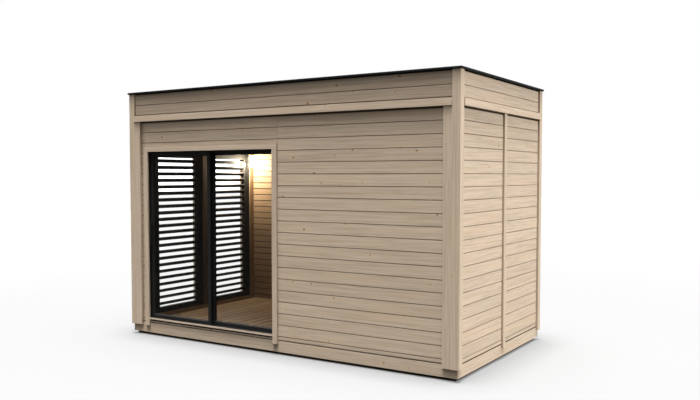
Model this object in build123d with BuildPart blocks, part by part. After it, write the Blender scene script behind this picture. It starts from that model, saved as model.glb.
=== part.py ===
"""Outdoor sauna: a flat-roofed timber cabin with a sliding glass door and louvred side openings.

Millimetres, +Z up. The front faces -Y, and the origin lies on the ground under the middle of the cabin.
"""

import os

from build123d import *

os.makedirs("parts", exist_ok=True)

# The cabin as a whole, measured over the outer faces of its corner posts
cabin_width = 4030
cabin_depth = 2130
wall_height = 2296
wall_thickness = 120
trim_thickness = 20
skirt_thickness = 20

# Base: bearers on the ground, plinth boards round the floor, an open joint under the walls
bearer_height = 30
bearer_width = 90
bearer_recess = 30
long_bearer_count = 3
cross_bearer_count = 4
plinth_height = 113
plinth_joint = 7

# Corner posts, the cover boards beside them and the battens over the wall joints
post_front_leg = 80
post_side_leg = 75
trim_overlap = 33
cover_board_width = 82
batten_width = 60

# Roof edge: fascia boards with a proud rail below them, and a thin tray that covers the roof
fascia_height = 239
rail_height = 68
rail_projection = 9
roof_overhang = 12
roof_cover_thickness = 20
roof_tray_rim = 45
roof_tray_depth = 8

# Doorway in the front wall and the timber round it
doorway_offset = 238
doorway_width = 1772
doorway_head = 383
casing_width = 60
casing_head_height = 57
threshold_height = 15
sill_height = 20
sill_projection = 10
sill_slope = 4
sill_lift = 10

# Door frame and its two leaves, the sliding one outside the fixed one
frame_bar = 20
track_height = 25
leaf_setback = 20
leaf_bar = 42
leaf_depth = 42
leaf_gap = 8
leaf_clearance = 5
glass_thickness = 24
glass_rebate = 10
rib_width = 8
track_rib_height = 10
guide_rib_height = 13
leaf_groove_depth = 18
shoe_length = 60
shoe_inset = 80
seat_clearance = 0.3

# Pull handle on the outer stile of the sliding leaf
handle_length = 247
handle_width = 16
handle_bar_thickness = 10
handle_reach = 35
handle_lift = 855
handle_rounding = 6

# Louvred panels in the left wall
louvre_lift = 45
louvre_head = 396
louvre_pier_width = 142
louvre_end_pier = 105
louvre_depth = 50
louvre_setback = 5
louvre_stile = 60
louvre_rail = 60
blade_count = 23
blade_width = 52
blade_thickness = 14
blade_tilt = 40
blade_tenon = 6

# Quarter-round lamp in the back left corner of the room
lamp_radius = 80
lamp_height = 160
lamp_drop = 396

# Heights, from the ground up
plinth_top = bearer_height + plinth_height
floor_top = plinth_top + plinth_joint
trim_bottom = plinth_top - trim_overlap
wall_top = floor_top + wall_height
rail_bottom = wall_top - rail_height
roof_base = wall_top + fascia_height

# Plan: half sizes to the post faces, the wall faces, the skirting of the base and the room
post_x = cabin_width / 2
post_y = cabin_depth / 2
wall_x = post_x - trim_thickness
wall_y = post_y - trim_thickness
core_x = wall_x - skirt_thickness
core_y = wall_y - skirt_thickness
room_x = wall_x - wall_thickness
room_y = wall_y - wall_thickness

# Doorway edges and the clear opening inside the door frame
doorway_left = doorway_offset - wall_x
doorway_right = doorway_left + doorway_width
doorway_top = wall_top - doorway_head
clear_left = doorway_left + frame_bar
clear_right = doorway_right - frame_bar
clear_top = doorway_top - frame_bar
frame_bottom = floor_top + threshold_height
track_top = frame_bottom + track_height
sill_top = track_top + sill_lift

# Leaves: the fixed one fills its half of the frame, the sliding one runs in front of it
clear_width = clear_right - clear_left
fixed_leaf_width = (clear_width + leaf_bar) / 2
sliding_leaf_width = fixed_leaf_width - leaf_clearance
fixed_leaf_left = clear_right - fixed_leaf_width
sliding_leaf_left = clear_left + leaf_clearance
sliding_leaf_right = sliding_leaf_left + sliding_leaf_width
sliding_leaf_bottom = track_top + leaf_clearance
sliding_leaf_top = clear_top - leaf_clearance
sliding_leaf_front = leaf_setback - wall_y
sliding_leaf_back = sliding_leaf_front + leaf_depth
fixed_leaf_front = sliding_leaf_back + leaf_gap
sliding_leaf_middle = sliding_leaf_front + leaf_depth / 2
groove_width = rib_width + 2 * leaf_clearance

# Louvred openings: they fill the left wall between its sill, its head and its three piers
louvre_bottom = floor_top + louvre_lift
louvre_top = wall_top - louvre_head
louvre_height = louvre_top - louvre_bottom
louvre_near = louvre_pier_width / 2
louvre_far = room_y - louvre_end_pier
louvre_width = louvre_far - louvre_near
louvre_middle = (louvre_near + louvre_far) / 2
louvre_inner = -room_x - louvre_setback


def finish(piece, label):
    """Name a finished piece and write it to its own file."""
    piece.part.label = label
    export_step(piece.part, f"parts/{label}.step")


def board(x_from, x_to, y_from, y_to):
    """Draw the plan outline of a board or slab between two lines each way."""
    with Locations(((x_from + x_to) / 2, (y_from + y_to) / 2)):
        Rectangle(x_to - x_from, y_to - y_from)


def slab(label, x_span, y_span, z_span, sides=((1, 1),)):
    """Make a plain slab, or one slab for each pair of signs in sides, which mirror it in X and Y."""
    with BuildPart() as piece:
        with BuildSketch(Plane.XY.offset(z_span[0])):
            for side_x, side_y in sides:
                board(*sorted(side_x * x for x in x_span), *sorted(side_y * y for y in y_span))
        extrude(amount=z_span[1] - z_span[0])
    finish(piece, label)


# The signs that mirror a piece to the other end, the other face or all four corners
both_ends = ((1, 1), (-1, 1))
both_faces = ((1, 1), (1, -1))
four_corners = ((1, 1), (-1, 1), (1, -1), (-1, -1))

# Bearers: long ones under the front, middle and back, short ones between them
bearer_x = wall_x - bearer_recess
bearer_y = wall_y - bearer_recess
bearer_rows = (2 * bearer_y - bearer_width) / (long_bearer_count - 1)
cross_bearer_columns = (2 * bearer_x - bearer_width) / (cross_bearer_count - 1)

with BuildPart() as long_bearers:
    with BuildSketch():
        with GridLocations(bearer_rows, bearer_rows, 1, long_bearer_count):
            Rectangle(2 * bearer_x, bearer_width)
    extrude(amount=bearer_height)
finish(long_bearers, "long_bearers")

with BuildPart() as cross_bearers:
    with BuildSketch():
        with GridLocations(cross_bearer_columns, bearer_rows, cross_bearer_count, long_bearer_count - 1):
            Rectangle(bearer_width, bearer_rows - bearer_width)
    extrude(amount=bearer_height)
finish(cross_bearers, "cross_bearers")

# Floor and the plinth boards that close its edges
slab("floor", (-core_x, core_x), (-core_y, core_y), (bearer_height, floor_top))
plinth_span = (bearer_height, plinth_top)
slab("plinth_long_boards", (-wall_x, wall_x), (core_y, wall_y), plinth_span, both_faces)
slab("plinth_end_boards", (core_x, wall_x), (-core_y, core_y), plinth_span, both_ends)

# Walls: the long ones run through, the short ones stand between them
wall_span = (floor_top, wall_top)
front_span = (-wall_y, -room_y)
slab("front_wall_left", (-wall_x, doorway_left), front_span, wall_span)
slab("front_wall_over_door", (doorway_left, doorway_right), front_span, (doorway_top, wall_top))
slab("front_wall_right", (doorway_right, wall_x), front_span, wall_span)
slab("door_threshold", (doorway_left, doorway_right), front_span, (floor_top, frame_bottom))
slab("back_wall", (-wall_x, wall_x), (room_y, wall_y), wall_span)
slab("right_wall", (room_x, wall_x), (-room_y, room_y), wall_span)
slab("left_wall_sill", (-wall_x, -room_x), (-room_y, room_y), (floor_top, louvre_bottom))
slab("left_wall_head", (-wall_x, -room_x), (-room_y, room_y), (louvre_top, wall_top))

with BuildPart() as left_wall_piers:
    with BuildSketch(Plane.XY.offset(louvre_bottom)):
        board(-wall_x, -room_x, -room_y, room_y)
        for side in (-1, 1):
            with Locations((-(wall_x + room_x) / 2, side * louvre_middle)):
                Rectangle(wall_thickness, louvre_width, mode=Mode.SUBTRACT)
    extrude(amount=louvre_height)
finish(left_wall_piers, "left_wall_piers")


def corner_post(label, side_x, side_y):
    """Make one angle-shaped corner post, which wraps the corner of the walls."""
    with BuildPart() as post:
        with BuildSketch(Plane.XY.offset(trim_bottom)):
            board(*sorted((side_x * post_x, side_x * (post_x - post_front_leg))),
                  *sorted((side_y * post_y, side_y * wall_y)))
            board(*sorted((side_x * post_x, side_x * wall_x)),
                  *sorted((side_y * post_y, side_y * (post_y - post_side_leg))))
        extrude(amount=roof_base - trim_bottom)
    finish(post, label)


for end, side_x in (("left", -1), ("right", 1)):
    for face, side_y in (("front", -1), ("back", 1)):
        corner_post(f"corner_post_{face}_{end}", side_x, side_y)

# Boards on the walls: covers beside the posts and battens over the joints of the right and back walls
trim_span = (trim_bottom, rail_bottom)
cover_outer = post_x - post_front_leg
cover_inner = cover_outer - cover_board_width
slab("corner_cover_boards", (cover_inner, cover_outer), (wall_y, post_y), trim_span, four_corners)

with BuildPart() as wall_battens:
    with BuildSketch(Plane.XY.offset(trim_bottom)):
        board(wall_x, post_x, -batten_width / 2, batten_width / 2)
        board(-batten_width / 2, batten_width / 2, wall_y, post_y)
    extrude(amount=rail_bottom - trim_bottom)
finish(wall_battens, "wall_battens")

# Roof: a thick panel on the walls, fascia boards round it and a proud rail between the posts
fascia_span = (wall_top, roof_base)
slab("roof_panel", (-core_x, core_x), (-core_y, core_y), fascia_span)
slab("fascia_long_boards", (-wall_x, wall_x), (core_y, wall_y), fascia_span, both_faces)
slab("fascia_end_boards", (core_x, wall_x), (-core_y, core_y), fascia_span, both_ends)

rail_long_half = post_x - post_front_leg
rail_end_half = post_y - post_side_leg
with BuildPart() as fascia_rails:
    with BuildSketch(Plane.XY.offset(rail_bottom)):
        for side in (-1, 1):
            board(-rail_long_half, rail_long_half, *sorted((side * wall_y, side * (post_y + rail_projection))))
            board(*sorted((side * wall_x, side * (post_x + rail_projection))), -rail_end_half, rail_end_half)
    extrude(amount=rail_height)
finish(fascia_rails, "fascia_rails")

with BuildPart() as roof_cover:
    with BuildSketch(Plane.XY.offset(roof_base)):
        Rectangle(2 * (post_x + roof_overhang), 2 * (post_y + roof_overhang))
    extrude(amount=roof_cover_thickness)
    with BuildSketch(roof_cover.faces().sort_by(Axis.Z)[-1]):
        Rectangle(2 * (post_x + roof_overhang - roof_tray_rim), 2 * (post_y + roof_overhang - roof_tray_rim))
    extrude(amount=-roof_tray_depth, mode=Mode.SUBTRACT)
finish(roof_cover, "roof_cover")

# Casing round the doorway, flush with the inside of the door frame, and the sill in front of the track
casing_faces = (-post_y, -wall_y)
slab("door_casing_left", (clear_left - casing_width, clear_left), casing_faces, (trim_bottom, clear_top))
slab("door_casing_right", (clear_right, clear_right + casing_width), casing_faces, (trim_bottom, clear_top))
slab("door_casing_head", (clear_left - casing_width, clear_right + casing_width), casing_faces,
     (clear_top, clear_top + casing_head_height))

with BuildPart() as door_sill:
    with BuildSketch(Plane.YZ.offset(clear_left)):
        with BuildLine():
            Polyline((-wall_y, sill_top - sill_height), (-wall_y, sill_top),
                     (-wall_y - sill_projection, sill_top - sill_slope),
                     (-wall_y - sill_projection, sill_top - sill_height), close=True)
        make_face()
    extrude(amount=clear_width)
finish(door_sill, "door_sill")

# Door frame: jambs full height, with the head and the track between them
with BuildPart() as door_frame_jambs:
    with BuildSketch(Plane.XY.offset(frame_bottom)):
        board(doorway_left, clear_left, *front_span)
        board(clear_right, doorway_right, *front_span)
    extrude(amount=doorway_top - frame_bottom)
finish(door_frame_jambs, "door_frame_jambs")

with BuildPart() as door_frame_head:
    with BuildSketch(Plane.YZ.offset(clear_left)):
        board(*front_span, clear_top, doorway_top)
        with Locations((sliding_leaf_middle, clear_top - guide_rib_height / 2)):
            Rectangle(rib_width, guide_rib_height)
    extrude(amount=clear_width)
finish(door_frame_head, "door_frame_head")

with BuildPart() as door_track:
    with BuildSketch(Plane.YZ.offset(clear_left)):
        board(*front_span, frame_bottom, track_top)
        with Locations((sliding_leaf_middle, track_top + track_rib_height / 2)):
            Rectangle(rib_width, track_rib_height)
    extrude(amount=clear_width)
finish(door_track, "door_track")


def leaf_ring(front, left, bottom, width, height):
    """Make a leaf's frame: four bars with a groove for the glass inside."""
    middle = (left + width / 2, bottom + height / 2)
    with BuildPart() as ring:
        with BuildSketch(Plane.XZ.offset(-front)):
            with Locations(middle):
                Rectangle(width, height)
                Rectangle(width - 2 * leaf_bar, height - 2 * leaf_bar, mode=Mode.SUBTRACT)
        extrude(amount=-leaf_depth)
        with BuildSketch(Plane.XZ.offset(-front - (leaf_depth - glass_thickness) / 2)):
            with Locations(middle):
                Rectangle(width - 2 * leaf_bar + 2 * glass_rebate, height - 2 * leaf_bar + 2 * glass_rebate)
        extrude(amount=-glass_thickness, mode=Mode.SUBTRACT)
    return ring


def leaf_glass(label, front, left, bottom, width, height):
    """Make the glass unit that fills the groove of a leaf's frame."""
    with BuildPart() as glass:
        with BuildSketch(Plane.XZ.offset(-front - (leaf_depth - glass_thickness) / 2)):
            with Locations((left + width / 2, bottom + height / 2)):
                Rectangle(width - 2 * leaf_bar + 2 * glass_rebate, height - 2 * leaf_bar + 2 * glass_rebate)
        extrude(amount=-glass_thickness)
    finish(glass, label)


fixed_leaf = (fixed_leaf_front, fixed_leaf_left, track_top, fixed_leaf_width, clear_top - track_top)
sliding_leaf = (sliding_leaf_front, sliding_leaf_left, sliding_leaf_bottom, sliding_leaf_width,
                sliding_leaf_top - sliding_leaf_bottom)

finish(leaf_ring(*fixed_leaf), "fixed_leaf_frame")
leaf_glass("fixed_leaf_glass", *fixed_leaf)

# Sliding leaf: grooves along its bottom and top straddle the ribs, and two shoes stand on the track's rib
shoe_bottom = track_top + track_rib_height + seat_clearance
sliding_leaf_ring = leaf_ring(*sliding_leaf)
with BuildPart() as sliding_leaf_frame:
    add(sliding_leaf_ring.part)
    with BuildSketch(Plane.YZ.offset(sliding_leaf_left)):
        with Locations((sliding_leaf_middle, sliding_leaf_bottom + leaf_groove_depth / 2),
                       (sliding_leaf_middle, sliding_leaf_top - leaf_groove_depth / 2)):
            Rectangle(groove_width, leaf_groove_depth)
    extrude(amount=sliding_leaf_width, mode=Mode.SUBTRACT)
    with BuildSketch(Plane.XY.offset(shoe_bottom)):
        for shoe_x in (sliding_leaf_left + shoe_inset, sliding_leaf_right - shoe_inset):
            with Locations((shoe_x, sliding_leaf_middle)):
                Rectangle(shoe_length, groove_width)
    extrude(amount=sliding_leaf_bottom + leaf_groove_depth - shoe_bottom)
finish(sliding_leaf_frame, "sliding_leaf_frame")
leaf_glass("sliding_leaf_glass", *sliding_leaf)

# Pull handle: a flat bow that stands off the leaf's outer stile
handle_middle = floor_top + handle_lift + handle_length / 2
with BuildPart() as sliding_leaf_handle:
    with BuildSketch(Plane.YZ.offset(sliding_leaf_left + leaf_bar / 2)):
        with Locations((sliding_leaf_front - handle_reach / 2, handle_middle)):
            Rectangle(handle_reach, handle_length)
        with Locations((sliding_leaf_front - (handle_reach - handle_bar_thickness) / 2, handle_middle)):
            Rectangle(handle_reach - handle_bar_thickness, handle_length - 2 * handle_bar_thickness,
                      mode=Mode.SUBTRACT)
    extrude(amount=handle_width / 2, both=True)
    outer_edges = sliding_leaf_handle.edges().filter_by(Axis.X).group_by(Axis.Y)[0]
    fillet(outer_edges, radius=handle_rounding)
finish(sliding_leaf_handle, "sliding_leaf_handle")


def louvre_panel(label, side):
    """Make a louvred panel: a frame with tilted blades let into its stiles, outer edges low."""
    blade_zone = louvre_height - 2 * louvre_rail
    blade_length = louvre_width - 2 * louvre_stile + 2 * blade_tenon
    middle_z = (louvre_bottom + louvre_top) / 2
    blade_pitch = blade_zone / blade_count
    with BuildPart() as panel:
        with BuildSketch(Plane.YZ.offset(louvre_inner)):
            with Locations((side * louvre_middle, middle_z)):
                Rectangle(louvre_width, louvre_height)
                Rectangle(louvre_width - 2 * louvre_stile, blade_zone, mode=Mode.SUBTRACT)
        extrude(amount=-louvre_depth)
        with BuildSketch(Plane.XZ.offset(-side * louvre_middle)):
            with Locations((louvre_inner - louvre_depth / 2, middle_z)):
                with GridLocations(blade_pitch, blade_pitch, 1, blade_count):
                    Rectangle(blade_width, blade_thickness, rotation=blade_tilt)
        extrude(amount=blade_length / 2, both=True)
    finish(panel, label)


louvre_panel("louvre_panel_front", -1)
louvre_panel("louvre_panel_back", 1)

# One casing frames both louvred openings on the outside
with BuildPart() as louvre_casing:
    with BuildSketch(Plane.YZ.offset(-post_x)):
        board(-louvre_far - casing_width, louvre_far + casing_width,
              louvre_bottom - casing_width, louvre_top + casing_width)
        for side in (-1, 1):
            with Locations((side * louvre_middle, (louvre_bottom + louvre_top) / 2)):
                Rectangle(louvre_width, louvre_height, mode=Mode.SUBTRACT)
    extrude(amount=trim_thickness)
finish(louvre_casing, "louvre_casing")

# Corner lamp, a quarter of a drum fixed to both walls
with BuildPart() as corner_lamp:
    with BuildSketch(Plane.XY.offset(wall_top - lamp_drop - lamp_height)):
        with BuildLine():
            shade = CenterArc((-room_x, room_y), lamp_radius, -90, 90)
            Line(shade @ 0, (-room_x, room_y))
            Line((-room_x, room_y), shade @ 1)
        make_face()
    extrude(amount=lamp_height)
finish(corner_lamp, "corner_lamp")
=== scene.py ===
"""Outdoor sauna, dressed: boards, door, louvres, lamp and stage built round the cabin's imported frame.

Metres, +Z up, front towards -Y. Places come from the frame, and what a user would change is in the
property groups.
"""

import math
import random
from collections import namedtuple

import bmesh
import bpy
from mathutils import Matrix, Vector


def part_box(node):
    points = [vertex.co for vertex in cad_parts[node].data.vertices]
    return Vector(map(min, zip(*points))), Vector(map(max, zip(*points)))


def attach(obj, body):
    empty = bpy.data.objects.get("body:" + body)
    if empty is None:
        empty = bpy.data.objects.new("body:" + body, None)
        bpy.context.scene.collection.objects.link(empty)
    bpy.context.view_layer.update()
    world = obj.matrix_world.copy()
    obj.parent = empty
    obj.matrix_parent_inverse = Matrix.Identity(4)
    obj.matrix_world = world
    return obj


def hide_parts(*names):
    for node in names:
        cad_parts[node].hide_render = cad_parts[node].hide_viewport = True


bl_info = {
    "name": "Outdoor sauna",
    "version": (1, 0, 0),
    "blender": (4, 5, 0),
    "location": "3D View > Sidebar > Sauna",
    "description": "Builds the boards, door, louvres, lamp and stage of a timber sauna cabin",
    "category": "Object",
}

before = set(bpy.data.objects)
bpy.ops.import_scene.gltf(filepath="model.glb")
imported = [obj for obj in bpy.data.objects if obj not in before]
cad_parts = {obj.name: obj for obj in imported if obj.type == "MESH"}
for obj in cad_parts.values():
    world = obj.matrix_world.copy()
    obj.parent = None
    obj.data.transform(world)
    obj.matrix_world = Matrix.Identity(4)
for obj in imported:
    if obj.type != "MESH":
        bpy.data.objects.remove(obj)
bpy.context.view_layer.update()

X, Y, Z = range(3)
CABIN = "cabin"
LEAF = "sliding_leaf"

# An opening in a wall: from left to right along the wall, and from bottom to top
Opening = namedtuple("Opening", "left right bottom top")

# Planes of the cabin, read from the frame
WALL_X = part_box("front_wall_right")[1].x
WALL_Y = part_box("back_wall")[1].y
ROOM_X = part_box("right_wall")[0].x
ROOM_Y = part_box("back_wall")[0].y
FLOOR_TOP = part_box("floor")[1].z
WALL_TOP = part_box("back_wall")[1].z
RAIL_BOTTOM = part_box("fascia_rails")[0].z
DOORWAY = Opening(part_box("front_wall_left")[1].x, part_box("front_wall_right")[0].x,
                  FLOOR_TOP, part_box("front_wall_over_door")[0].z)
CASING_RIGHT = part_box("door_casing_right")[1].x
LOUVRES = [Opening(low.y, high.y, low.z, high.z)
           for low, high in (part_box("louvre_panel_front"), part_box("louvre_panel_back"))]


# Settings

def length(name, description, default):
    """Give a length setting, in metres."""
    return bpy.props.FloatProperty(name=name, description=description, default=default, min=0.0,
                                   unit="LENGTH", precision=4)


def colour(name, description, default):
    """Give a colour setting, as linear red, green and blue."""
    return bpy.props.FloatVectorProperty(name=name, description=description, default=default, size=3,
                                         min=0.0, max=1.0, subtype="COLOR")


def share(name, description, default):
    """Give a setting from none to all."""
    return bpy.props.FloatProperty(name=name, description=description, default=default, min=0.0, max=1.0,
                                   subtype="FACTOR")


def angle(name, description, degrees):
    """Give an angle setting from degrees."""
    return bpy.props.FloatProperty(name=name, description=description, default=math.radians(degrees),
                                   subtype="ANGLE")


def strength(name, description, default):
    """Give the strength of a light of the stage."""
    return bpy.props.FloatProperty(name=name, description=description, default=default, min=0.0)


class SaunaSizes(bpy.types.PropertyGroup):
    """Sizes of the boards and of the thin trim that the frame leaves open."""

    board_cover: length("Board cover", "Height of a cladding board from groove to groove", 0.115)
    first_groove: length("First groove", "Height of the lowest groove above the ground", 0.188)
    board_thickness: length("Board thickness", "Thickness of the cladding boards", 0.018)
    board_chamfer: length("Board chamfer", "Chamfer along the edges of a cladding board", 0.0025)
    board_gap: length("Board gap", "Open joint between two cladding boards", 0.0028)
    rail_joint: length("Joint over the rail", "Open joint between the rail and the fascia", 0.010)
    rail_slot: length("Slot under the rail", "Open slot between the rail and the boards below it", 0.014)
    vent_gap: length("Vent gap", "Open joint between the fascia and the roof's edge", 0.008)
    channel_depth: length("Channel depth", "How far the boards between cover and casing lie back", 0.014)
    lining_cover: length("Lining cover", "Height of a lining board from groove to groove", 0.078)
    lining_thickness: length("Lining thickness", "Thickness of the lining boards", 0.012)
    lining_chamfer: length("Lining chamfer", "Chamfer along the edges of a lining board", 0.003)
    lining_first: length("First lining groove", "Height of the lowest lining groove above the floor", 0.054)
    lining_gap: length("Lining gap", "Open joint between two lining boards", 0.006)
    floor_cover: length("Floor board cover", "Width of a floor board from joint to joint", 0.122)
    floor_gap: length("Floor board gap", "Open joint between two floor boards", 0.018)
    floor_ease: length("Floor board ease", "Eased edge of a floor board", 0.005)
    floor_thickness: length("Floor board thickness", "Thickness of the floor boards", 0.022)
    trim_ease: length("Trim ease", "Eased edge of posts, covers, casings and rails", 0.0015)
    corner_strip: length("Corner strip", "Width of the strips in the corners of the room", 0.081)
    louvre_flange: length("Louvre flange", "Width of the flange that laps the wall round a louvre", 0.024)
    flange_thickness: length("Flange thickness", "Thickness of the flange round a louvre", 0.004)
    strip_thickness: length("Strip thickness", "Thickness of the strips and of the skirting", 0.012)
    skirting_height: length("Skirting height", "Height of the skirting round the room", 0.042)
    seam_pitch: length("Seam pitch", "Width of a sheet on the roof from seam to seam", 1.0)
    metal_ease: length("Metal ease", "Eased edge of the door's aluminium bars", 0.0012)


class SaunaFinishes(bpy.types.PropertyGroup):
    """Colours of the finishes."""

    cladding: colour("Cladding", "Pale wood of the outer boards", (0.575, 0.462, 0.347))
    cladding_streak: colour("Cladding streaks", "Darker lines in the outer boards", (0.415, 0.318, 0.226))
    cladding_warm: colour("Cladding heartwood", "Warmer bands in the outer boards", (0.585, 0.430, 0.295))
    knot: colour("Knots", "Knots in the timber", (0.185, 0.125, 0.080))
    resin: colour("Resin", "Amber wood beside the knots", (0.610, 0.440, 0.265))
    # Painted shade laid over faces that turn upwards, much darker than the wood itself
    ledge: colour("Upward shade", "Painted shade on ledges and upper edges", (0.060, 0.045, 0.033))
    lining: colour("Lining", "Pale wood of the room's boards", (0.370, 0.268, 0.172))
    lining_streak: colour("Lining streaks", "Darker lines in the room's boards", (0.280, 0.188, 0.108))
    floor: colour("Floor", "Wood of the floor boards", (0.430, 0.315, 0.205))
    floor_streak: colour("Floor streaks", "Darker lines in the floor boards", (0.270, 0.185, 0.110))
    base: colour("Base", "Dark stained bearers", (0.075, 0.056, 0.040))
    metal: colour("Metal", "Black coat of the door and louvres", (0.012, 0.012, 0.0115))
    roof: colour("Roof", "Black sheet on the roof", (0.003, 0.003, 0.0033))
    glass: colour("Glass", "Tint of the panes", (0.985, 0.99, 0.985))
    lamp: colour("Lamp", "Warm light of the corner lamp", (1.0, 0.84, 0.64))


class SaunaStage(bpy.types.PropertyGroup):
    """Camera and light of the stage."""

    eye: bpy.props.FloatVectorProperty(name="Eye", description="Where the camera stands", size=3,
                                       default=(4.6956, -7.0557, 1.7796), subtype="TRANSLATION",
                                       unit="LENGTH")
    yaw: angle("Yaw", "Turn of the camera from the back to the left", 32.271)
    pitch: angle("Pitch", "Tilt of the camera below the horizon", 2.636)
    lens: bpy.props.FloatProperty(name="Lens", description="Focal length of the camera", default=39.468,
                                  unit="CAMERA")
    shift: bpy.props.FloatProperty(name="Shift", description="Rise of the picture on the sensor",
                                   default=0.0159)
    sky: strength("Sky", "Even light from all round", 0.13)
    top: strength("Top light", "Soft light from above", 7.6)
    zenith: strength("Zenith light", "Narrow light from straight above", 21.0)
    front: strength("Front light", "Soft light from above the front", 1.0)
    key: strength("Key light", "Soft light from the right", 2.8)
    fill: strength("Fill light", "Soft light from behind on the left", 1.4)
    lamp_power: bpy.props.FloatProperty(name="Lamp power", description="Light of the corner lamp",
                                        default=39.0, min=0.0, unit="POWER")
    floor_glow: share("Floor glow", "How far the floor is lifted to white for the camera", 0.25)


# Reading the frame

# Points nearer than this are one corner of a solid
WELD = 1e-5
# Decimals of a metre by which solids are put in order
ORDER_DECIMALS = 4


def solid_boxes(node):
    """Give the lowest and highest corner of each separate solid in a node."""
    welded = bmesh.new()
    welded.from_mesh(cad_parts[node].data)
    bmesh.ops.remove_doubles(welded, verts=welded.verts, dist=WELD)
    left = set(welded.verts)
    boxes = []
    while left:
        solid = {left.pop()}
        edge = list(solid)
        while edge:
            near = {link.other_vert(point) for point in edge for link in point.link_edges} - solid
            solid |= near
            edge = list(near)
        left -= solid
        places = [point.co.copy() for point in solid]
        boxes.append((Vector(map(min, *places)), Vector(map(max, *places))))
    welded.free()
    return sorted(boxes, key=lambda box: tuple(round(value, ORDER_DECIMALS) for value in box[0]))


def longest(low, high):
    """Name the axis along which a box is longest."""
    return max((X, Y, Z), key=lambda axis: high[axis] - low[axis])


def others(along):
    """Name the two axes across a given one."""
    return [axis for axis in (X, Y, Z) if axis != along]


# Mesh making

# How far apart in the log two boards may be cut
LOG_SPREAD = 40.0
# Share of the ease that is left at the corners of an eased end
END_EASE = 0.5
# The second of the finishes that a mesh is given
SECOND = 1


def placed(along, place, across, up):
    """Give a point from its place along an axis and on the two axes across it."""
    side, rise = others(along)
    point = [0.0, 0.0, 0.0]
    point[along], point[side], point[rise] = place, across, up
    return point


def quarter_arc(across, up, radius, start, steps):
    """Give the points of a quarter circle round a centre, from a start angle on."""
    turns = [start + step * math.pi / 2 / steps for step in range(steps + 1)]
    return [(across + radius * math.cos(turn), up + radius * math.sin(turn)) for turn in turns]


def new_object(name, data):
    """Make an object from its data and put it in the scene."""
    made = bpy.data.objects.new(name, data)
    bpy.context.scene.collection.objects.link(made)
    return made


class PieceMesh:
    """Gathers closed forms in one mesh, each with the grain and tone of its own board."""

    def __init__(self, seed=0):
        self.chance = random.Random(seed)
        self.points = []
        self.faces = []
        self.finishes = []
        self.grain = []
        self.tones = []

    def new_grain(self):
        """Draw where a board was cut from its log, and how light it came out."""
        return Vector([self.chance.uniform(0.0, LOG_SPREAD) for _ in range(3)]), self.chance.random()

    def loops(self, rings, along, finish, grain=None, closed=False):
        """Join rings of points, one after the other, and cap the ends unless they close up."""
        origin, tone = grain or self.new_grain()
        side, rise = others(along)
        first = len(self.points)
        count = len(rings[0])
        for ring in rings:
            for point in ring:
                self.points.append(tuple(point))
                self.grain.append(origin + Vector((point[along], point[side], point[rise])))
                self.tones.append(tone)
        starts = [first + number * count for number in range(len(rings))]
        pairs = list(zip(starts, starts[1:]))
        if closed:
            pairs.append((starts[-1], starts[0]))
        else:
            self.faces.append([starts[0] + number for number in range(count)][::-1])
            self.faces.append([starts[-1] + number for number in range(count)])
        for lower, upper in pairs:
            for number in range(count):
                after = (number + 1) % count
                self.faces.append([lower + number, lower + after, upper + after, upper + number])
        self.finishes.extend([finish] * (len(self.faces) - len(self.finishes)))

    def board(self, low, high, along=None, ease=0.0, ends=(True, True), finish=0, grain=None):
        """Add a board with its long edges eased, and its ends where they show."""
        along = longest(low, high) if along is None else along
        side, rise = others(along)

        def ring(place, inset, corner):
            left, right = low[side] + inset, high[side] - inset
            bottom, top = low[rise] + inset, high[rise] - inset
            section = [(left + corner, bottom), (right - corner, bottom), (right, bottom + corner),
                       (right, top - corner), (right - corner, top), (left + corner, top),
                       (left, top - corner), (left, bottom + corner)]
            return [placed(along, place, across, up) for across, up in section]

        rings = [ring(low[along] + ease * ends[0], 0.0, ease), ring(high[along] - ease * ends[1], 0.0, ease)]
        if ends[0]:
            rings.insert(0, ring(low[along], ease, ease * END_EASE))
        if ends[1]:
            rings.append(ring(high[along], ease, ease * END_EASE))
        self.loops(rings, along, finish, grain)

    def slab(self, ends_x, ends_y, ends_z, along, ease=0.0, finish=0):
        """Add a board from its two ends on each axis, given in any order."""
        low, high = zip(*(sorted(ends) for ends in (ends_x, ends_y, ends_z)))
        self.board(Vector(low), Vector(high), along, ease, finish=finish)

    def prism(self, outline, along, start, end, finish=0):
        """Run an outline, given on the two axes across, from one place to another along an axis."""
        rings = [[placed(along, place, across, up) for across, up in outline] for place in (start, end)]
        self.loops(rings, along, finish)

    def ring(self, low, high, normal, profile):
        """Run a profile round a rectangle with mitred corners: each point is an inset and a depth."""
        side, rise = others(normal)
        rings = []
        for right, upper in ((False, False), (True, False), (True, True), (False, True)):
            rings.append([placed(normal, depth, high[side] - inset if right else low[side] + inset,
                                 high[rise] - inset if upper else low[rise] + inset)
                          for inset, depth in profile])
        self.loops(rings, rise, 0, closed=True)

    def build(self, name, *finishes):
        """Make the object, with its faces turned outwards."""
        mesh = bpy.data.meshes.new(name)
        mesh.from_pydata(self.points, [], self.faces)
        mesh.polygons.foreach_set("material_index", self.finishes)
        grain = mesh.attributes.new("grain", "FLOAT_VECTOR", "POINT")
        grain.data.foreach_set("vector", [value for place in self.grain for value in place])
        tone = mesh.attributes.new("tone", "FLOAT", "POINT")
        tone.data.foreach_set("value", self.tones)
        turned = bmesh.new()
        turned.from_mesh(mesh)
        bmesh.ops.recalc_face_normals(turned, faces=turned.faces)
        turned.to_mesh(mesh)
        turned.free()
        for finish in finishes:
            mesh.materials.append(finish_of(finish))
        return new_object(name, mesh)


def settle(piece, slot, *nodes, body=CABIN):
    """Fix a piece to its body and let it stand for its nodes."""
    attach(piece, body)
    if nodes:
        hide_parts(*nodes)


# Edges that turn by more than this stay sharp
SMOOTH_ANGLE = math.radians(40.0)


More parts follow.
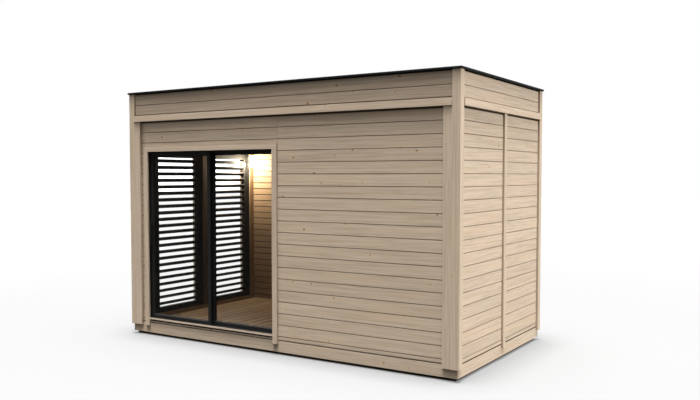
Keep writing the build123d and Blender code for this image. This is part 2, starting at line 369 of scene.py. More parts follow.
def smooth(piece):
    """Shade round forms smoothly and keep their real edges."""
    piece.data.polygons.foreach_set("use_smooth", [True] * len(piece.data.polygons))
    piece.data.set_sharp_from_angle(angle=SMOOTH_ANGLE)
    return piece


def plain_boards(name, node, finish, slot, seed=0, ease=None):
    """Replace a node of plain boards or bars by eased ones of the same size."""
    ease = bpy.context.scene.sauna_sizes.trim_ease if ease is None else ease
    mesh = PieceMesh(seed)
    for low, high in solid_boxes(node):
        mesh.board(low, high, ease=ease)
    settle(mesh.build(name, finish), slot, node)


# Material making

def put(tree, kind, inputs=None, **options):
    """Add a node, set its options and fill its inputs with values or links."""
    node = tree.nodes.new(kind)
    for name, value in options.items():
        setattr(node, name, value)
    for name, value in (inputs or {}).items():
        if isinstance(value, bpy.types.NodeSocket):
            tree.links.new(value, node.inputs[name])
        else:
            node.inputs[name].default_value = value
    return node


def calc(tree, operation, *values):
    """Add a sum and give its result."""
    return put(tree, "ShaderNodeMath", dict(enumerate(values)), operation=operation).outputs[0]


def scaled(tree, vector, scale):
    """Stretch a vector by its own factor along each axis."""
    return put(tree, "ShaderNodeVectorMath", {0: vector, 1: scale}, operation="MULTIPLY").outputs[0]


# Sockets of a mix node that belong to colours
MIX_AMOUNT, MIX_FIRST, MIX_SECOND, MIX_RESULT = 0, 6, 7, 2


def mixed(tree, amount, first, second, kind="MIX"):
    """Mix two colours."""
    return put(tree, "ShaderNodeMix", {MIX_AMOUNT: amount, MIX_FIRST: first, MIX_SECOND: second},
               data_type="RGBA", blend_type=kind).outputs[MIX_RESULT]


def remapped(tree, value, low, high, to_low=0.0, to_high=1.0):
    """Ease a value from one range into another."""
    return put(tree, "ShaderNodeMapRange", {"Value": value, "From Min": low, "From Max": high,
               "To Min": to_low, "To Max": to_high}, interpolation_type="SMOOTHSTEP").outputs[0]


def noise(tree, vector, detail=2.0, roughness=0.5):
    """Add a noise pattern and give its value."""
    return put(tree, "ShaderNodeTexNoise", {"Vector": vector, "Scale": 1.0, "Detail": detail,
               "Roughness": roughness}).outputs[0]


def new_group(name, inputs, outputs):
    """Start a node group with named sockets, and give its tree, its inputs and its output node."""
    tree = bpy.data.node_groups.new(name, "ShaderNodeTree")
    for socket, kind in inputs:
        tree.interface.new_socket(name=socket, in_out="INPUT", socket_type=kind)
    for socket, kind in outputs:
        tree.interface.new_socket(name=socket, in_out="OUTPUT", socket_type=kind)
    return tree, tree.nodes.new("NodeGroupInput").outputs, tree.nodes.new("NodeGroupOutput").inputs


COLOUR, VALUE = "NodeSocketColor", "NodeSocketFloat"
SURFACE = (("Color", COLOUR), ("Roughness", VALUE), ("Height", VALUE))


# A noise pattern: its scale along each axis, its octaves, their roughness, and the range that counts
Pattern = namedtuple("Pattern", "scale octaves roughness low high")


def patterned(tree, place, pattern, to_low=0.0, to_high=1.0):
    """Lay a noise pattern over a surface, and give it as it is and eased into its range."""
    plain = noise(tree, scaled(tree, place, pattern.scale), pattern.octaves, pattern.roughness)
    return plain, remapped(tree, plain, pattern.low, pattern.high, to_low, to_high)


# Figure of the timber, along the grain and across it, and how much of the streaks each part makes
BANDS = Pattern((1.5, 80.0, 80.0), 3.0, 0.6, 0.42, 0.60)
FIBRES = Pattern((5.0, 240.0, 240.0), 3.0, 0.6, 0.40, 0.75)
DRIFT = Pattern((1.1, 12.0, 12.0), 2.0, 0.5, 0.40, 0.70)
HEART = Pattern((1.3, 17.0, 17.0), 2.0, 0.5, 0.52, 0.68)
BAND_SHARE, RING_SHARE, FIBRE_SHARE, DRIFT_SHARE = 0.64, 0.18, 0.40, 0.22

# Growth rings: the noise whose contours they are, how many there are and how far they bend at a knot
RING_SCALE = (0.45, 7.5, 7.5)
RING_TURNS = 95.0
RING_BEND = 6.0

# Knots: cells to a metre, radius of the least and growth towards the largest, and what counts as none
KNOT_CELLS = 4.5
KNOT_RADIUS = 0.0045
KNOT_GROWTH = 0.020
NO_KNOT = 0.0002

# Knots and resin: their measure along and across the grain, where they fade, in radii, and their depth
KNOT_REACH = (0.7, 1.0, 0.0)
RESIN_REACH = (0.22, 1.0, 0.0)
KNOT_FADE = (0.5, 1.05)
RIM_FADE = (0.9, 3.2)
RESIN_FADE = (0.5, 1.6)
KNOT_DEPTH = 0.85
RESIN_DEPTH = 0.60

# How far a face turns up where its painted shade begins, and where the shade is full
UP_FACE_SHADE_TURN = (0.35, 0.75)

# What streaks and knots add to the roughness, and what fibres, rings and knots add to the relief
STREAK_ROUGHNESS, KNOT_ROUGHNESS = 0.16, -0.12
FIBRE_HEIGHT, RING_HEIGHT, KNOT_HEIGHT = 0.55, 0.30, 0.35


def reach(tree, gap, squash):
    """Measure a gap with its own factor along each axis."""
    squashed = scaled(tree, gap, squash)
    return put(tree, "ShaderNodeVectorMath", {0: squashed}, operation="LENGTH").outputs["Value"]


def timber_grain():
    """Give the node group for sawn timber: fibres, growth rings, heartwood, knots and painted shade on faces
    that turn up.
    """
    found = bpy.data.node_groups.get("Timber grain")
    if found:
        return found
    tree, given, out = new_group("Timber grain", (
        ("Pale", COLOUR), ("Streak", COLOUR), ("Warm", COLOUR), ("Knot", COLOUR), ("Resin", COLOUR),
        ("Ledge", COLOUR), ("Streak Share", VALUE), ("Warm Share", VALUE), ("Knot Share", VALUE),
        ("Ledge Share", VALUE), ("Tone Spread", VALUE), ("Base Roughness", VALUE)), SURFACE)
    place = put(tree, "ShaderNodeAttribute", attribute_name="grain").outputs["Vector"]
    tone = put(tree, "ShaderNodeAttribute", attribute_name="tone").outputs["Fac"]
    parts = put(tree, "ShaderNodeSeparateXYZ", {0: place}).outputs
    across = calc(tree, "ADD", parts[1], parts[2])
    flat = put(tree, "ShaderNodeCombineXYZ", {0: parts[0], 1: across}).outputs[0]

    # Some of the cells hold a knot, a little longer than wide, with resin before and after it
    cells = put(tree, "ShaderNodeTexVoronoi", {"Vector": flat, "Scale": KNOT_CELLS},
                voronoi_dimensions="2D").outputs
    luck = put(tree, "ShaderNodeSeparateColor", {0: cells["Color"]}).outputs[0]
    spare = calc(tree, "SUBTRACT", given["Knot Share"], luck)
    holds_one = calc(tree, "GREATER_THAN", spare, 0.0)
    radius = calc(tree, "MULTIPLY_ADD", spare, KNOT_GROWTH, KNOT_RADIUS)
    radius = calc(tree, "MAXIMUM", calc(tree, "MULTIPLY", radius, holds_one), NO_KNOT)
    gap = put(tree, "ShaderNodeVectorMath", {0: flat, 1: cells["Position"]}, operation="SUBTRACT").outputs[0]
    away = calc(tree, "DIVIDE", reach(tree, gap, KNOT_REACH), radius)
    knot = remapped(tree, away, *KNOT_FADE, 1.0, 0.0)
    rim = remapped(tree, away, *RIM_FADE, 1.0, 0.0)
    away = calc(tree, "DIVIDE", reach(tree, gap, RESIN_REACH), radius)
    resin = remapped(tree, away, *RESIN_FADE, 1.0, 0.0)

    # Growth rings are the contours of a slow noise, and bend round the knots
    slow = noise(tree, scaled(tree, place, RING_SCALE), detail=1.0)
    bend = calc(tree, "MULTIPLY", rim, RING_BEND)
    turns = calc(tree, "ADD", calc(tree, "MULTIPLY", slow, RING_TURNS), bend)
    rings = calc(tree, "MULTIPLY_ADD", calc(tree, "SINE", turns), 0.5, 0.5)
    fibres, fine_lines = patterned(tree, place, FIBRES)
    lines = calc(tree, "MULTIPLY", patterned(tree, place, BANDS)[1], BAND_SHARE)
    lines = calc(tree, "MULTIPLY_ADD", rings, RING_SHARE, lines)
    lines = calc(tree, "MULTIPLY_ADD", fine_lines, FIBRE_SHARE, lines)
    lines = calc(tree, "MULTIPLY_ADD", patterned(tree, place, DRIFT)[1], DRIFT_SHARE, lines)
    lines = calc(tree, "MULTIPLY", lines, given["Streak Share"])
    heart = calc(tree, "MULTIPLY", patterned(tree, place, HEART)[1], given["Warm Share"])
    wood = mixed(tree, lines, given["Pale"], given["Streak"])
    wood = mixed(tree, heart, wood, given["Warm"])
    wood = mixed(tree, calc(tree, "MULTIPLY", resin, RESIN_DEPTH), wood, given["Resin"])
    wood = mixed(tree, calc(tree, "MULTIPLY", knot, KNOT_DEPTH), wood, given["Knot"])
    spread = calc(tree, "MULTIPLY_ADD", calc(tree, "SUBTRACT", tone, 0.5), given["Tone Spread"], 1.0)
    shade = put(tree, "ShaderNodeCombineColor", {0: spread, 1: spread, 2: spread}).outputs[0]
    wood = mixed(tree, 1.0, wood, shade, "MULTIPLY")

    # Painted shade: faces that turn upwards, ledges and upper edges, are darkened towards the shade colour
    normal = put(tree, "ShaderNodeNewGeometry").outputs["True Normal"]
    facing_up = put(tree, "ShaderNodeSeparateXYZ", {0: normal}).outputs[2]
    ledge = calc(tree, "MULTIPLY", remapped(tree, facing_up, *UP_FACE_SHADE_TURN), given["Ledge Share"])
    tree.links.new(mixed(tree, ledge, wood, given["Ledge"]), out["Color"])
    rough = calc(tree, "MULTIPLY_ADD", lines, STREAK_ROUGHNESS, given["Base Roughness"])
    tree.links.new(calc(tree, "MULTIPLY_ADD", knot, KNOT_ROUGHNESS, rough), out["Roughness"])
    height = calc(tree, "MULTIPLY_ADD", fibres, FIBRE_HEIGHT, calc(tree, "MULTIPLY", rings, RING_HEIGHT))
    tree.links.new(calc(tree, "MULTIPLY_ADD", knot, KNOT_HEIGHT, height), out["Height"])
    return tree


# Coat: faint clouds, specks of dust in them, and what they add to the roughness and the relief
CLOUDS = Pattern((2.2, 2.2, 2.2), 4.0, 0.6, 0.42, 0.70)
SPECKS = Pattern((46.0, 46.0, 46.0), 3.0, 0.7, 0.52, 0.74)
CLOUD_ROUGHNESS, DUST_ROUGHNESS = 0.18, 0.25
SPECK_HEIGHT = 0.2


def fine_coat():
    """Give the node group for coated sheet and bars: a peel too fine to see, faint clouds and dust."""
    found = bpy.data.node_groups.get("Fine coat")
    if found:
        return found
    tree, given, out = new_group("Fine coat", (
        ("Base", COLOUR), ("Dust", COLOUR), ("Dust Share", VALUE), ("Peel Scale", VALUE),
        ("Base Roughness", VALUE)), SURFACE)
    place = put(tree, "ShaderNodeTexCoord").outputs["Object"]
    peel_at = put(tree, "ShaderNodeVectorMath", {0: place, "Scale": given["Peel Scale"]},
                  operation="SCALE").outputs[0]
    peel = noise(tree, peel_at, detail=1.0)
    clouds, cloudy = patterned(tree, place, CLOUDS)
    specks = patterned(tree, place, SPECKS)[1]
    dust = calc(tree, "MULTIPLY", cloudy, calc(tree, "MULTIPLY_ADD", specks, 0.5, 0.5))
    dust = calc(tree, "MULTIPLY", dust, given["Dust Share"])
    tree.links.new(mixed(tree, dust, given["Base"], given["Dust"]), out["Color"])
    rough = calc(tree, "MULTIPLY_ADD", clouds, CLOUD_ROUGHNESS, given["Base Roughness"])
    tree.links.new(calc(tree, "MULTIPLY_ADD", dust, DUST_ROUGHNESS, rough), out["Roughness"])
    tree.links.new(calc(tree, "MULTIPLY_ADD", specks, SPECK_HEIGHT, peel), out["Height"])
    return tree


def solid(values):
    """Give a colour setting as a full colour."""
    return (*values, 1.0)


def shaded(tint, amount):
    """Give a colour at a share of its lightness."""
    return tuple(amount * value for value in tint)


def cleared_tree(owner):
    """Give the node tree of a material or a world, emptied."""
    owner.use_nodes = True
    owner.node_tree.nodes.clear()
    return owner.node_tree


def new_finish(name):
    """Start a material with one surface shader, and give both."""
    material = bpy.data.materials.new(name)
    tree = cleared_tree(material)
    shader = put(tree, "ShaderNodeBsdfPrincipled")
    put(tree, "ShaderNodeOutputMaterial", {"Surface": shader.outputs[0]})
    return material, tree, shader


def use_surface(tree, shader, group, values, bump_strength, bump_distance):
    """Place a surface group in a material and lead its colour, roughness and relief to the shader."""
    node = put(tree, "ShaderNodeGroup", node_tree=group)
    for name, value in values.items():
        node.inputs[name].default_value = value
    tree.links.new(node.outputs["Color"], shader.inputs["Base Color"])
    tree.links.new(node.outputs["Roughness"], shader.inputs["Roughness"])
    bump = put(tree, "ShaderNodeBump", {"Height": node.outputs["Height"], "Strength": bump_strength,
               "Distance": bump_distance})
    tree.links.new(bump.outputs[0], shader.inputs["Normal"])


# Relief of the grain and of the coat: strength and depth of the bump, and the shine of bare timber
GRAIN_BUMP, GRAIN_RELIEF = 0.35, 0.0006
COAT_BUMP, COAT_RELIEF = 0.25, 0.0001
TIMBER_SHINE = 0.3

# Dust on a coat: how many times lighter than the coat, and how much lighter than black
DUST_TIMES, DUST_LIFT = 2.5, 0.02

# How light the core, painted shade, is beside the boards' streaks, and a dark timber's streaks beside the
# timber
CORE_SHADE = 0.35
DARK_STREAK = 0.5


def timber(name, pale, streak, warm, streak_share=0.75, warm_share=0.42, knot_share=0.40, ledge_share=0.0,
           tone_spread=0.07, roughness=0.58):
    """Make a timber finish from its colours, how lively its figure is and how much painted shade its upward
    faces take.
    """
    material, tree, shader = new_finish(name)
    tints = bpy.context.scene.sauna_finishes
    values = {"Pale": solid(pale), "Streak": solid(streak), "Warm": solid(warm), "Knot": solid(tints.knot),
              "Resin": solid(tints.resin), "Ledge": solid(tints.ledge), "Streak Share": streak_share,
              "Warm Share": warm_share, "Knot Share": knot_share, "Ledge Share": ledge_share,
              "Tone Spread": tone_spread, "Base Roughness": roughness}
    use_surface(tree, shader, timber_grain(), values, GRAIN_BUMP, GRAIN_RELIEF)
    shader.inputs["Specular IOR Level"].default_value = TIMBER_SHINE
    return material


def coated(name, base, dust_share, peel_scale, roughness, relief=COAT_RELIEF, shine=0.25):
    """Make a coated or sheet finish from its colour and dust."""
    material, tree, shader = new_finish(name)
    dust = tuple(min(1.0, value * DUST_TIMES + DUST_LIFT) for value in base)
    values = {"Base": solid(base), "Dust": solid(dust), "Dust Share": dust_share, "Peel Scale": peel_scale,
              "Base Roughness": roughness}
    use_surface(tree, shader, fine_coat(), values, COAT_BUMP, relief)
    shader.inputs["Specular IOR Level"].default_value = shine
    return material


def outer_wood(name, **figure):
    """Make a finish in the colours of the outer boards."""
    tints = bpy.context.scene.sauna_finishes
    return timber(name, tints.cladding, tints.cladding_streak, tints.cladding_warm, **figure)


def cladding_wood(name):
    """Make the outer boards' finish, with strong painted shade on their upward faces."""
    return outer_wood(name, ledge_share=0.9)


def side_cladding_wood(name):
    """Make the finish of the boards on the sides, whose upward faces take less painted shade."""
    return outer_wood(name, ledge_share=0.62)


def trim_wood(name):
    """Make the posts', covers' and casings' finish, a little calmer than the boards, with painted shade on
    their upward faces.
    """
    return outer_wood(name, streak_share=0.7, warm_share=0.20, knot_share=0.15, ledge_share=0.95,
                      tone_spread=0.05)


def core_wood(name):
    """Make the dark finish of what lies behind the boards and of the pier board between the louvres: painted
    shade in the joints and on the pier.
    """
    deep = shaded(bpy.context.scene.sauna_finishes.cladding_streak, CORE_SHADE)
    return timber(name, deep, shaded(deep, DARK_STREAK), deep, warm_share=0.0, knot_share=0.0)


def lining_wood(name):
    """Make the finish of the room's walls, ceiling and trim, with painted shade on their upward faces."""
    tints = bpy.context.scene.sauna_finishes
    return timber(name, tints.lining, tints.lining_streak, tints.lining, warm_share=0.0, knot_share=0.4,
                  ledge_share=0.9)


def floor_wood(name):
    """Make the floor boards' finish, oiled and a little glossier."""
    tints = bpy.context.scene.sauna_finishes
    return timber(name, tints.floor, tints.floor_streak, tints.floor, streak_share=0.7, warm_share=0.0,
                  knot_share=0.3, tone_spread=0.22, roughness=0.45)


def stained_wood(name):
    """Make the dark stained finish of the bearers."""
    base = bpy.context.scene.sauna_finishes.base
    return timber(name, base, shaded(base, DARK_STREAK), base, warm_share=0.0, knot_share=0.2, roughness=0.7)


def door_coat(name):
    """Make the black coat of the door."""
    return coated(name, bpy.context.scene.sauna_finishes.metal, dust_share=0.10, peel_scale=900.0,
                  roughness=0.36)


def louvre_coat(name):
    """Make the black coat of the louvres."""
    return coated(name, bpy.context.scene.sauna_finishes.metal, dust_share=0.18, peel_scale=900.0,
                  roughness=0.42)


def roof_membrane(name):
    """Make the sheet on the roof."""
    return coated(name, bpy.context.scene.sauna_finishes.roof, dust_share=0.12, peel_scale=260.0,
                  roughness=0.62, relief=0.0004, shine=0.20)


def seal_rubber(name):
    """Make the black seals round the panes."""
    return coated(name, bpy.context.scene.sauna_finishes.metal, dust_share=0.05, peel_scale=1500.0,
                  roughness=0.62)


def ray_share(tree, *kinds):
    """Give one where a ray is of any of these kinds, and nought elsewhere."""
    path = put(tree, "ShaderNodeLightPath").outputs
    total = path[kinds[0]]
    for kind in kinds[1:]:
        total = calc(tree, "MAXIMUM", total, path[kind])
    return total


# Panes: the share of light that each face lets into the room, a faint film and wave, and their refraction
LET_IN = 0.80
FILM = Pattern((3.0, 3.0, 3.0), 4.0, 0.5, 0.45, 0.75)
FILM_ROUGHNESS = 0.012
WAVE_SCALE = (1.6, 1.6, 0.7)
WAVE_BUMP, WAVE_RELIEF = 0.04, 0.002
PANE_IOR = 1.16


def clear_pane(name):
    """Make clear panes with a faint wave and film, which let light through into the room."""
    material, tree, shader = new_finish(name)
    place = put(tree, "ShaderNodeTexCoord").outputs["Object"]
    film = patterned(tree, place, FILM, to_high=FILM_ROUGHNESS)[1]
    tree.links.new(film, shader.inputs["Roughness"])
    wave = noise(tree, scaled(tree, place, WAVE_SCALE), detail=1.0)
    bump = put(tree, "ShaderNodeBump", {"Height": wave, "Strength": WAVE_BUMP, "Distance": WAVE_RELIEF})
    tree.links.new(bump.outputs[0], shader.inputs["Normal"])
    shader.inputs["Base Color"].default_value = solid(bpy.context.scene.sauna_finishes.glass)
    shader.inputs["Transmission Weight"].default_value = 1.0
    shader.inputs["IOR"].default_value = PANE_IOR

    # Light that has been bounced passes straight, and what is seen through the panes does not
    clear = put(tree, "ShaderNodeBsdfTransparent", {"Color": solid([LET_IN] * 3)})
    mirrored = calc(tree, "GREATER_THAN", ray_share(tree, "Is Glossy Ray"),
                    ray_share(tree, "Is Transmission Ray"))
    bounced = calc(tree, "MAXIMUM", ray_share(tree, "Is Shadow Ray", "Is Diffuse Ray"), mirrored)
    lets_by = put(tree, "ShaderNodeMixShader", {0: bounced, 1: shader.outputs[0], 2: clear.outputs[0]})
    output = next(node for node in tree.nodes if node.type == "OUTPUT_MATERIAL")
    tree.links.new(lets_by.outputs[0], output.inputs["Surface"])
    return material


# Opal shade: its mist, its least and most roughness, its darker parts, its own colour and its glow
MIST = Pattern((18.0, 18.0, 18.0), 3.0, 0.5, 0.3, 0.7)
MIST_ROUGHNESS = (0.30, 0.45)
MIST_SHADE = 0.8
OPAL = (0.85, 0.80, 0.72)
OPAL_GLOW = 6.0


def opal_shade(name):
    """Make the lamp's opal shade, which glows a little unevenly."""
    material, tree, shader = new_finish(name)
    glow = bpy.context.scene.sauna_finishes.lamp
    place = put(tree, "ShaderNodeTexCoord").outputs["Object"]
    mist, rough = patterned(tree, place, MIST, *MIST_ROUGHNESS)
    misty = mixed(tree, mist, solid(shaded(glow, MIST_SHADE)), solid(glow))
    tree.links.new(misty, shader.inputs["Emission Color"])
    tree.links.new(rough, shader.inputs["Roughness"])
    shader.inputs["Base Color"].default_value = solid(OPAL)
    shader.inputs["Emission Strength"].default_value = OPAL_GLOW
    return material


MAKERS = {maker.__name__: maker for maker in (
    cladding_wood, side_cladding_wood, trim_wood, core_wood, lining_wood, floor_wood, stained_wood,
    door_coat, louvre_coat, roof_membrane, seal_rubber, clear_pane, opal_shade)}


def finish_of(name):
    """Give a finish, making it the first time it is asked for."""
    return bpy.data.materials.get(name) or MAKERS[name](name)


# Walls

def courses(bottom, top, first, cover):
    """Give the edges of each course of boards from the bottom to the top."""
    edges = [bottom]
    groove = first
    while groove < top:
        if groove > bottom:
            edges.append(groove)
        groove += cover
    edges.append(top)
    return list(zip(edges, edges[1:]))


def cut_course(span, course, openings, joints):
    """Cut one course of boards at its joints and round the openings.

    Gives left, right, bottom and top of each length, the number of the board that it is cut from, and
    whether its left and right ends are board ends.
    """
    crossing = [gap for gap in openings if gap.bottom < course[1] and gap.top > course[0]]
    board_ends = {*span, *joints}
    edges = sorted(board_ends | {edge for gap in crossing for edge in (gap.left, gap.right)})
    for left, right in zip(edges, edges[1:]):
        bottom, top = course
        middle = (left + right) / 2
        for gap in crossing:
            if gap.left < middle < gap.right:
                bottom, top = (gap.top, top) if gap.bottom <= bottom else (bottom, gap.bottom)
        if top > bottom:
            board = sum(joint < middle for joint in joints)
            yield left, right, bottom, top, board, (left in board_ends, right in board_ends)


def upright(along, place, through, height):
    """Give a point on a wall from its place along the wall, its depth and its height."""
    return Vector((place, through, height)) if along == X else Vector((through, place, height))


def wall_layer(mesh, along, depths, span, rows, openings, joints, gap, ease, finish):
    """Add the courses of one layer of a wall between two depths."""
    low_depth, high_depth = sorted(depths)
    for bottom, top in rows:
        cuts = {}
        for left, right, low, high, board, ends in cut_course(span, (bottom, top), openings, joints):
            cuts.setdefault(board, mesh.new_grain())
            mesh.board(upright(along, left, low_depth, low + gap / 2),
                       upright(along, right, high_depth, high - gap / 2),
                       along, ease, ends, finish, cuts[board])


# Finishes of a wall, in the order in which they are given to its mesh
OUTER, CORE, LINING = range(3)


def build_wall(name, nodes, along, side, openings, joints, seed, channels=()):
    """Build a wall of outer boards, a core and lining boards, and let it stand for its nodes.

    In the channels the outer boards lie a little back.
    """
    sizes = bpy.context.scene.sauna_sizes
    face, room = (WALL_Y, ROOM_Y) if along == X else (WALL_X, ROOM_X)
    board_back = face - sizes.board_thickness
    lining_back = room + sizes.lining_thickness
    if along == X:
        board_reach, core_reach, lining_reach = WALL_X, WALL_X - sizes.board_thickness, ROOM_X
    else:
        board_reach = WALL_Y - sizes.board_thickness
        core_reach, lining_reach = ROOM_Y + sizes.lining_thickness, ROOM_Y
    mesh = PieceMesh(seed)
    outer = courses(FLOOR_TOP, RAIL_BOTTOM - sizes.rail_slot, sizes.first_groove, sizes.board_cover)
    outer.append((RAIL_BOTTOM, WALL_TOP))
    wall_layer(mesh, along, (side * board_back, side * face), (-board_reach, board_reach), outer,
               [*openings, *channels], joints, sizes.board_gap, sizes.board_chamfer, OUTER)
    for channel in channels:
        wall_layer(mesh, along, (side * board_back, side * (face - sizes.channel_depth)),
                   (channel.left, channel.right), outer, [], [], sizes.board_gap, sizes.board_chamfer,
                   OUTER)
    # The core shows in the joints between the boards, in a dark finish that is painted shade
    wall_layer(mesh, along, (side * lining_back, side * board_back), (-core_reach, core_reach),
               [(FLOOR_TOP, WALL_TOP)], openings, [], 0.0, 0.0, CORE)
    inner = courses(FLOOR_TOP, WALL_TOP, FLOOR_TOP + sizes.lining_first, sizes.lining_cover)
    wall_layer(mesh, along, (side * room, side * lining_back), (-lining_reach, lining_reach), inner, openings,
               [], sizes.lining_gap, sizes.lining_chamfer, LINING)
    finish = "cladding_wood" if along == X else "side_cladding_wood"
    settle(mesh.build(name, finish, "core_wood", "lining_wood"), "cladding", *nodes)


class SAUNA_OT_walls(bpy.types.Operator):
    """Build the four walls from boards, core and lining."""

    bl_idname = "sauna.walls"
    bl_label = "Walls"

    def execute(self, context):
        doorway = [DOORWAY._replace(bottom=0.0)]
        cover_right = min(high.x for low, high in solid_boxes("corner_cover_boards"))
        channel = Opening(cover_right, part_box("door_casing_left")[0].x, 0.0, WALL_TOP)
        build_wall("front_wall_boards", ("front_wall_left", "front_wall_over_door", "front_wall_right"),
                   X, side=-1, openings=doorway, joints=[CASING_RIGHT], seed=11, channels=[channel])
        build_wall("back_wall_boards", ("back_wall",), X, side=1, openings=[], joints=[0.0], seed=12)
        build_wall("right_wall_boards", ("right_wall",), Y, side=1, openings=[], joints=[0.0], seed=13)
        build_wall("left_wall_boards", ("left_wall_sill", "left_wall_head", "left_wall_piers"),
                   Y, side=-1, openings=LOUVRES, joints=[], seed=14)
        plain_boards("threshold_board", "door_threshold", "cladding_wood", "cladding", seed=15)
        return {"FINISHED"}


# Base

class SAUNA_OT_base(bpy.types.Operator):
    """Build the bearers, the plinth and the boarded floor."""

    bl_idname = "sauna.base"
    bl_label = "Base and floor"

    def execute(self, context):
        sizes = context.scene.sauna_sizes
        plain_boards("long_bearer_timbers", "long_bearers", "stained_wood", "base_timber", seed=21)
        plain_boards("cross_bearer_timbers", "cross_bearers", "stained_wood", "base_timber", seed=22)
        plain_boards("plinth_front_and_back", "plinth_long_boards", "cladding_wood", "cladding", seed=23)
        plain_boards("plinth_ends", "plinth_end_boards", "cladding_wood", "cladding", seed=24)
        low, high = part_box("floor")
        board_bottom = high.z - sizes.floor_thickness
        mesh = PieceMesh(seed=25)
        mesh.slab((low.x, high.x), (low.y, high.y), (low.z, board_bottom), X, finish=SECOND)
        for left, right in courses(low.x, high.x, low.x + sizes.floor_cover, sizes.floor_cover):
            mesh.slab((left + sizes.floor_gap / 2, right - sizes.floor_gap / 2), (low.y, high.y),
                      (board_bottom, high.z), Y, sizes.floor_ease)
        settle(mesh.build("floor_boards", "floor_wood", "stained_wood"), "floor_timber", "floor")
        return {"FINISHED"}


# Posts and trim

def build_post(node, seed):
    """Build a corner post from a front board and a side board that butts against it."""
    low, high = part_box(node)
    ease = bpy.context.scene.sauna_sizes.trim_ease
    mesh = PieceMesh(seed)
    front_low, front_high = low.copy(), high.copy()
    side_low, side_high = low.copy(), high.copy()
    if low.y < 0.0:
        front_high.y = side_low.y = -WALL_Y
    else:
        front_low.y = side_high.y = WALL_Y
    if low.x < 0.0:
        side_high.x = -WALL_X
    else:
        side_low.x = WALL_X
    mesh.board(front_low, front_high, Z, ease)
    mesh.board(side_low, side_high, Z, ease)
    settle(mesh.build(f"{node}_boards", "trim_wood"), "trim_timber", node)


# How much lower the sill's nose lies than its back
SILL_SLOPE = 0.004


def build_sill(seed):
    """Build the sloped sill in front of the track, with its nose eased."""
    low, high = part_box("door_sill")
    ease = bpy.context.scene.sauna_sizes.trim_ease
    nose = high.z - SILL_SLOPE
    outline = [(high.y, low.z), (high.y, high.z), (low.y + ease, nose), (low.y, nose - ease),
               (low.y, low.z + ease), (low.y + ease, low.z)]
    mesh = PieceMesh(seed)
    mesh.prism(outline, X, low.x, high.x)
    settle(mesh.build("door_sill_board", "trim_wood"), "trim_timber", "door_sill")


def build_louvre_casing(seed):
    """Build the casing round both louvred openings from two rails and three stiles."""
    low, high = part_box("louvre_casing")
    ease = bpy.context.scene.sauna_sizes.trim_ease
    bottom, top = LOUVRES[0].bottom, LOUVRES[0].top
    mesh = PieceMesh(seed)
    for rail in ((low.z, bottom), (top, high.z)):
        mesh.slab((low.x, high.x), (low.y, high.y), rail, Y, ease)
    stiles = ((low.y, LOUVRES[0].left), (LOUVRES[0].right, LOUVRES[1].left), (LOUVRES[1].right, high.y))
    for stile in stiles:
        mesh.slab((low.x, high.x), stile, (bottom, top), Z, ease)
    settle(mesh.build("louvre_casing_boards", "trim_wood"), "trim_timber", "louvre_casing")


class SAUNA_OT_trim(bpy.types.Operator):
    """Build the posts, covers, battens, casings and sill."""

    bl_idname = "sauna.trim"
    bl_label = "Posts and trim"

    def execute(self, context):
        for number, node in enumerate(("corner_post_front_left", "corner_post_front_right",
                                       "corner_post_back_left", "corner_post_back_right")):
            build_post(node, seed=31 + number)
        plain_boards("corner_covers", "corner_cover_boards", "trim_wood", "trim_timber", seed=35)
        plain_boards("joint_battens", "wall_battens", "trim_wood", "trim_timber", seed=36)
        for number, side in enumerate(("left", "right", "head")):
            plain_boards(f"door_casing_{side}_board", f"door_casing_{side}", "trim_wood", "trim_timber",
                         seed=37 + number)
        build_sill(seed=40)
        build_louvre_casing(seed=41)
        return {"FINISHED"}


class SAUNA_OT_room_trim(bpy.types.Operator):
    """Build the strips in the corners of the room, the board on the middle pier and the skirting."""

    bl_idname = "sauna.room_trim"
    bl_label = "Room trim"

    def execute(self, context):
        sizes = context.scene.sauna_sizes
        thick, wide, ease = sizes.strip_thickness, sizes.corner_strip, sizes.trim_ease
        skirting = (FLOOR_TOP, FLOOR_TOP + sizes.skirting_height)
        lamp_low, lamp_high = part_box("corner_lamp")
        whole = [(FLOOR_TOP, WALL_TOP)]
        past_lamp = [(FLOOR_TOP, lamp_low.z), (lamp_high.z, WALL_TOP)]
        mesh = PieceMesh(seed=51)
        for side_x in (-1, 1):
            for side_y in (-1, 1):
                for run in past_lamp if side_x < 0 < side_y else whole:
                    mesh.slab((side_x * ROOM_X, side_x * (ROOM_X - thick)),
                              (side_y * ROOM_Y, side_y * (ROOM_Y - wide)), run, Z, ease)
        pier = LOUVRES[1].left - sizes.louvre_flange
        # The board on the middle pier takes the dark core finish, painted shade
        mesh.slab((-ROOM_X, thick - ROOM_X), (-pier, pier), (skirting[1], WALL_TOP), Z, ease, finish=SECOND)
        settle(mesh.build("room_corner_strips", "lining_wood", "core_wood"), "cladding")

        mesh = PieceMesh(seed=52)
        for side_x in (-1, 1):
            mesh.slab((side_x * ROOM_X, side_x * (ROOM_X - thick)), (wide - ROOM_Y, ROOM_Y - wide),
                      skirting, Y, ease)
        mesh.slab((thick - ROOM_X, ROOM_X - thick), (ROOM_Y - thick, ROOM_Y), skirting, X, ease)
        mesh.slab((DOORWAY.right, ROOM_X - thick), (-ROOM_Y, thick - ROOM_Y), skirting, X, ease)
        settle(mesh.build("room_skirting", "lining_wood"), "cladding")
        return {"FINISHED"}


# Roof

